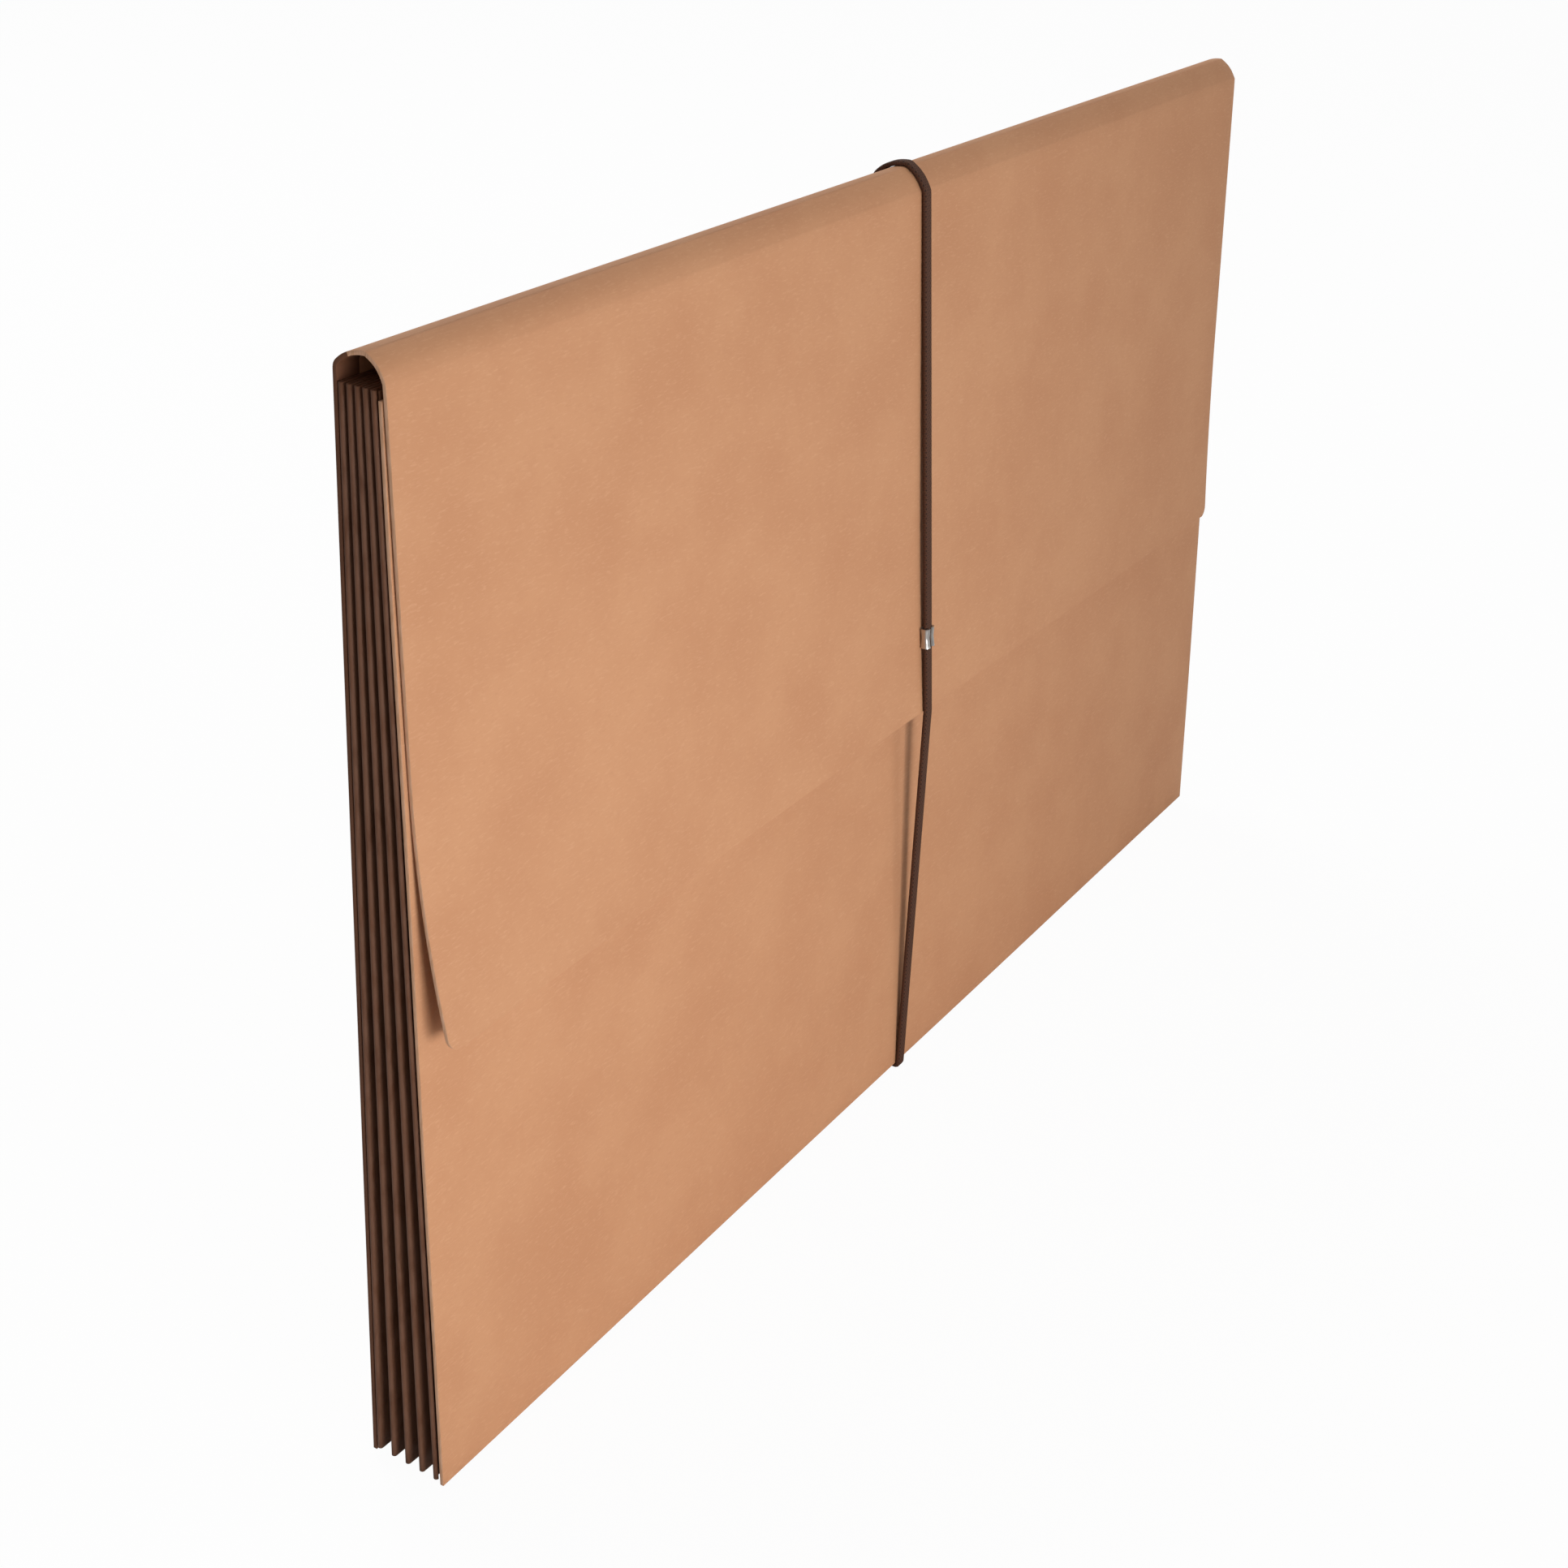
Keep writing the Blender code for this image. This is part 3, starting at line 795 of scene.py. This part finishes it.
def gusset_fold(side, number):
    inward, along, low, high, low_mitre, high_mitre = GUSSETS[side]
    last = number > LEAF_COUNT
    edge = Vector(CREASES[f"{side}_crease_1"]["pos_m"])
    edge.y = 0.0
    edge -= Vector(along) * edge.dot(Vector(along))
    inner = number % 2 == 0
    values = {
        "Outer Edge": tuple(edge),
        "Leaves Behind": float(number - 1),
        "Into Pocket": inward,
        "Along Crease": along,
        "Fold Side": 1.0 if inner else -1.0,
        "Glued Before": 1.0 if number == 1 else 0.0,
        "Length Before": TAB_WIDTH if number == 1 else HALF_LEAF,
        "Length After": 0.0 if last else HALF_LEAF,
        "Low End": low,
        "Low Limit": low if side == "bottom" else GUSSET_LOW,
        "High End": high,
        "Low Mitre": low_mitre,
        "High Mitre": high_mitre,
        "Waviness": WAVINESS,
    }
    made = run_tree(f"{side}_fold_{number}", fold_group, values, None, PAPER)
    if last:
        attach(made, f"{side}_leaf_{LEAF_COUNT}")
    else:
        place = Vector(CREASES[f"{side}_crease_{number}"]["pos_m"])
        axis = Vector(CREASES[f"{side}_crease_{number}"]["axis"])
        level = Vector((1, 0, 0)) if side != "bottom" else Vector((0, 0, 1))
        slit = axis.cross(level).normalized() * CREASE_GAP / 2 * SLIT_SHARE
        slit = slit if slit.y > 0 else -slit
        place + slit
        place - slit
        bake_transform(made)
        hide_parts(f"{side}_gusset_leaf_{number}")
    if number == 1:
        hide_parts(f"{side}_gusset_back_tab")
    return made


folds = [gusset_fold(side, number) for side in GUSSETS for number in range(1, LEAF_COUNT + 2)]
for side in GUSSETS:
    strip = frame["nodes"][f"{side}_gusset_front_tab"]
    strip.data.materials.clear()
    strip.data.materials.append(gusset_surface)
print("folds", len(folds), "faces each about", len(folds[1].data.polygons))

# %% [markdown]
# The elastic is taut, so in the side view it takes the tightest closed line round the pocket. That is the
# convex outline of the drawn sheets at the middle, moved out by half the elastic's thickness and a small
# gap, with rounded corners. The line starts inside the clip, where its join is hidden.

# %% The elastic's line
ELASTIC_WIDTH = 3.0 * MM
ELASTIC_THICKNESS = 1.2 * MM
ELASTIC_GAP = 0.12 * MM
ROUND_STEPS = 20


def convex_loop(points):
    ordered = sorted(set(points))

    def half(sequence):
        chain = []
        for point in sequence:
            while len(chain) > 1:
                (ay, az), (by, bz) = chain[-2], chain[-1]
                if (by - ay) * (point[1] - az) - (bz - az) * (point[0] - ay) > 0:
                    break
                chain.pop()
            chain.append(point)
        return chain[:-1]

    return half(ordered) + half(ordered[::-1])


section = []
for sheet in (back_board, front_board, roof_sheet, flap_sheet):
    near = [vertex.co for vertex in sheet.data.vertices if abs(vertex.co.x) < ELASTIC_WIDTH]
    section += [(point.y, point.z) for point in near]
reach = ELASTIC_GAP + ELASTIC_THICKNESS / 2
spread = []
for y, z in convex_loop(section):
    for step in range(ROUND_STEPS):
        turn = 2 * math.pi * step / ROUND_STEPS
        spread.append((y + reach * math.cos(turn), z + reach * math.sin(turn)))
loop = convex_loop(spread)
clip_low, clip_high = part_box("elastic_clip")
clip_z = (clip_low.z + clip_high.z) / 2
print("loop corners", len(loop), "clip at", round(clip_z / MM, 1), "mm")

# %% [markdown]
# The braid itself is a sweep: an oblong section with rounded corners, carried along the line by a node tree.
# The line's normals all lie along the width of the pocket, so the flat side faces the boards. The tree also
# writes the distance along the line, which the finish needs for its yarns.

# %% Elastic
ELASTIC_STEP = 0.5 * MM
ELASTIC_CORNER = 0.5 * MM
CORNER_POINTS = 4
ELASTIC_INPUTS = {
    "Width": ("NodeSocketFloat", ELASTIC_WIDTH),
    "Thickness": ("NodeSocketFloat", ELASTIC_THICKNESS),
    "Corner Radius": ("NodeSocketFloat", ELASTIC_CORNER),
    "Step": ("NodeSocketFloat", ELASTIC_STEP),
}


def elastic_tree():
    tree, given = new_tree("elastic_sweep", ELASTIC_INPUTS)
    line = add_node(tree, "GeometryNodeMeshToCurve", None, {0: given["Geometry"]})
    line = line.node("GeometryNodeResampleCurve", {"mode": "LENGTH"}, {0: line, "Length": given["Step"]})
    sideways = {0: line, "Normal": (1.0, 0.0, 0.0)}
    line = line.node("GeometryNodeSetCurveNormal", {"mode": "FREE"}, sideways)
    distance = add_node(tree, "GeometryNodeSplineParameter", None, None, 1)
    store = {0: line, "Name": "along", "Value": distance}
    line = line.node("GeometryNodeStoreNamedAttribute", {"data_type": "FLOAT"}, store)
    sides = {"Width": given["Width"], "Height": given["Thickness"]}
    oblong = add_node(tree, "GeometryNodeCurvePrimitiveQuadrilateral", None, sides)
    rounds = {0: oblong, "Radius": given["Corner Radius"], "Count": CORNER_POINTS}
    section = oblong.node("GeometryNodeFilletCurve", {"mode": "POLY"}, rounds)
    swept = line.node("GeometryNodeCurveToMesh", None, {"Curve": line, "Profile Curve": section})
    close_tree(tree, swept, elastic_surface)
    return tree


def closed_line(name, points):
    mesh = bpy.data.meshes.new(name)
    edges = [(index, (index + 1) % len(points)) for index in range(len(points))]
    mesh.from_pydata([(0.0, y, z) for y, z in points], edges, [])
    return mesh


def start_at(points, height):
    best = None
    for index, (first, second) in enumerate(zip(points, points[1:] + points[:1])):
        crosses = (first[1] - height) * (second[1] - height) <= 0 and first[1] != second[1]
        if crosses and first[0] < 0:
            best = index
    first, second = points[best], points[(best + 1) % len(points)]
    share = (height - first[1]) / (second[1] - first[1])
    start = (first[0] + (second[0] - first[0]) * share, height)
    return [start] + points[best + 1 :] + points[: best + 1]


loop = start_at(loop, clip_z)
elastic = run_tree("elastic_loop", elastic_tree(), {}, closed_line("elastic_line", loop))
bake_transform(elastic)
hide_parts("elastic_bottom_run", "elastic_front_run", "elastic_top_run", "elastic_back_run")
print("elastic", len(elastic.data.polygons), "faces")

# %% [markdown]
# The clip is a strip of thin metal bent round the elastic and pressed shut. It is drawn as its
# cross-section, a flat oval with the two lips meeting at the back, and carried along the elastic's
# direction. The ends are rolled slightly outwards and the middle is pressed in, so light runs along it.

# %% Clip
CLIP_WALL = 0.45 * MM
CLIP_CLEAR = 0.1 * MM
CLIP_LENGTH = 5.2 * MM
CLIP_RING = 40
CLIP_STATIONS = 17
PRESSED = 0.16 * MM
PRESS_NARROW = 8
ROLL_POWER = 6
SIDE_ROLL = 0.4
OVAL_POWER = 0.55
LIP_GAP = math.radians(8)
CLIP_SHARP = math.radians(50)


def superoval(turn, half_width, half_depth):
    c, s = math.cos(turn), math.sin(turn)
    return (
        half_width * math.copysign(abs(c) ** OVAL_POWER, c),
        half_depth * math.copysign(abs(s) ** OVAL_POWER, s),
    )


def clip_mesh(name, centre, along):
    made = bmesh.new()
    side = Vector((1, 0, 0))
    depth = side.cross(along)
    layers = []
    for extra in (0.0, CLIP_WALL):
        layer = []
        for station in range(CLIP_STATIONS):
            place = 2 * station / (CLIP_STATIONS - 1) - 1
            roll = PRESSED * (abs(place) ** ROLL_POWER - math.exp(-PRESS_NARROW * place * place))
            half_width = ELASTIC_WIDTH / 2 + CLIP_CLEAR + extra + roll * SIDE_ROLL
            half_depth = ELASTIC_THICKNESS / 2 + CLIP_CLEAR + extra + roll
            ring = []
            for index in range(CLIP_RING + 1):
                turn = LIP_GAP + (2 * math.pi - 2 * LIP_GAP) * index / CLIP_RING - math.pi / 2
                a, b = superoval(turn, half_width, half_depth)
                spine = centre + along * (place * CLIP_LENGTH / 2)
                ring.append(made.verts.new(spine + side * a + depth * b))
            layer.append(ring)
        layers.append(layer)
    inner, outer = layers
    for i in range(CLIP_STATIONS - 1):
        for j in range(CLIP_RING):
            for layer in layers:
                made.faces.new((layer[i][j], layer[i][j + 1], layer[i + 1][j + 1], layer[i + 1][j]))
        for j in (0, CLIP_RING):
            made.faces.new((inner[i][j], inner[i + 1][j], outer[i + 1][j], outer[i][j]))
    for j in range(CLIP_RING):
        for i in (0, CLIP_STATIONS - 1):
            made.faces.new((inner[i][j], inner[i][j + 1], outer[i][j + 1], outer[i][j]))
    bmesh.ops.recalc_face_normals(made, faces=made.faces)
    mesh = bpy.data.meshes.new(name)
    made.to_mesh(mesh)
    made.free()
    mesh.shade_smooth()
    mesh.set_sharp_from_angle(angle=CLIP_SHARP)
    mesh.materials.append(clip_surface)
    return mesh


ahead = Vector((0.0, *loop[1])) - Vector((0.0, *loop[0]))
clip = bpy.data.objects.new("clip", clip_mesh("clip", Vector((0.0, *loop[0])), ahead.normalized()))
bpy.context.scene.collection.objects.link(clip)
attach(clip, "front")
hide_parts("elastic_clip")
print("clip", len(clip.data.polygons), "faces")

# %% [markdown]
# The picture is a catalogue view: a white ground, soft light, and a low camera near the left edge. The
# floor is white and still shows a faint shadow. The world is white to the camera and in reflections, and
# dim as a light.

# %% Floor and world
FLOOR_HALF = 6.0
FLOOR_LOW = (0.88, 0.88, 0.88, 1.0)
FLOOR_HIGH = (0.92, 0.92, 0.92, 1.0)
FLOOR_GLOW = 0.965
WHITE = (1.0, 1.0, 1.0, 1.0)
WORLD_LIGHT = 0.24
WORLD_SEEN = 0.98
GLOSSY_RAY = 3
CLEAR_RAY = 6


def floor_finish():
    made, shader, place = new_finish("floor_finish", 0.95, Specular_IOR_Level=0.0)
    grain = noise(place, scale=8.0)
    feed(shader, "Base Color", mix_colour(grain, FLOOR_LOW, FLOOR_HIGH))
    path = add_node(made.node_tree, "ShaderNodeLightPath")
    glow = path.node("ShaderNodeEmission", None, {"Color": WHITE, "Strength": 1.0})
    body = Wire(shader.outputs[0])
    mixed = path.node("ShaderNodeMixShader", None, {0: path * FLOOR_GLOW, 1: body, 2: glow})
    leaving = made.node_tree.nodes["Material Output"]
    made.node_tree.links.new(mixed.socket, leaving.inputs["Surface"])
    return made


floor_mesh = bpy.data.meshes.new("floor")
corners = [(-1, -1), (1, -1), (1, 1), (-1, 1)]
floor_mesh.from_pydata([(x * FLOOR_HALF, y * FLOOR_HALF, 0.0) for x, y in corners], [], [(0, 1, 2, 3)])
floor_mesh.materials.append(floor_finish())
floor = bpy.data.objects.new("floor", floor_mesh)
bpy.context.scene.collection.objects.link(floor)

world = bpy.data.worlds.new("studio")
world.use_nodes = True
bpy.context.scene.world = world
seen = add_node(world.node_tree, "ShaderNodeLightPath")
shine = add_node(world.node_tree, "ShaderNodeLightPath", None, None, GLOSSY_RAY)
through = add_node(world.node_tree, "ShaderNodeLightPath", None, None, CLEAR_RAY)
direct = seen.math("MAXIMUM", seen.math("MAXIMUM", seen, shine), through)
backdrop = world.node_tree.nodes["Background"]
backdrop.inputs["Color"].default_value = WHITE
feed(backdrop, "Strength", WORLD_LIGHT + direct * (WORLD_SEEN - WORLD_LIGHT))
print("floor and world ready")

# %% [markdown]
# A weak key stands to the right and in front, and throws the elastic's shadow to the left on the front
# board. A fill with a narrow spread stands low in front of the left end, so that end is lighter and the far
# end falls off. A larger light behind and above reaches the back and the roof.

# %% Lights
AIM = (-0.05, 0.0, 0.12)
LEFT_END = (-0.18, 0.0, 0.03)


def soft_light(name, place, aim, size, power, spread):
    lamp = bpy.data.lights.new(name, "AREA")
    lamp.size = size
    lamp.energy = power
    lamp.spread = math.radians(spread)
    made = bpy.data.objects.new(name, lamp)
    made.location = place
    made.rotation_euler = (Vector(aim) - Vector(place)).to_track_quat("-Z", "Y").to_euler()
    bpy.context.scene.collection.objects.link(made)
    return made


key = soft_light("key", (0.95, -1.15, 0.55), AIM, size=0.40, power=2.5, spread=180.0)
fill = soft_light("fill", (-0.33, -0.80, 0.06), LEFT_END, size=0.5, power=1.75, spread=75.0)
back_light = soft_light("back_light", (0.30, 1.00, 1.50), AIM, size=0.8, power=13.0, spread=180.0)
print("lights", key.name, fill.name, back_light.name)

# %% [markdown]
# The camera stands close to the left end and looks along the front, so the far end is seen smaller. The
# lens and the place come from matching the corners of the front board and the flap. Part of the height is
# taken by shifting the lens, which keeps the upright edges closer to parallel.

# %% Camera
PICTURE = 1932.0
SENSOR = 36.0
AZIMUTH = math.radians(-57.8)
ELEVATION = math.radians(21.2)
ROLL = math.radians(2.05)
DISTANCE = 533.4 * MM
TARGET = Vector((-54.4, 0.0, 177.7)) * MM
FOCAL_PIXELS = 2882.0
SHIFT_PIXELS = -340.0
NEAR_LIMIT = 10.0 * MM

backward = Vector(
    (
        math.sin(AZIMUTH) * math.cos(ELEVATION),
        -math.cos(AZIMUTH) * math.cos(ELEVATION),
        math.sin(ELEVATION),
    )
)
level = Vector((math.cos(AZIMUTH), math.sin(AZIMUTH), 0.0))
upright = backward.cross(level)
rightward = level * math.cos(ROLL) + upright * math.sin(ROLL)
upward = backward.cross(rightward)
lens = bpy.data.cameras.new("camera")
lens.sensor_width = SENSOR
lens.lens = FOCAL_PIXELS / PICTURE * SENSOR
lens.shift_y = SHIFT_PIXELS / PICTURE
lens.clip_start = NEAR_LIMIT
camera = bpy.data.objects.new("camera", lens)
place = TARGET + backward * DISTANCE
camera.matrix_world = Matrix((rightward, upward, backward)).transposed().to_4x4()
camera.matrix_world.translation = place
bpy.context.scene.collection.objects.link(camera)
bpy.context.scene.camera = camera
bpy.context.scene.view_settings.view_transform = "Standard"
print("camera at", [round(value, 3) for value in place])
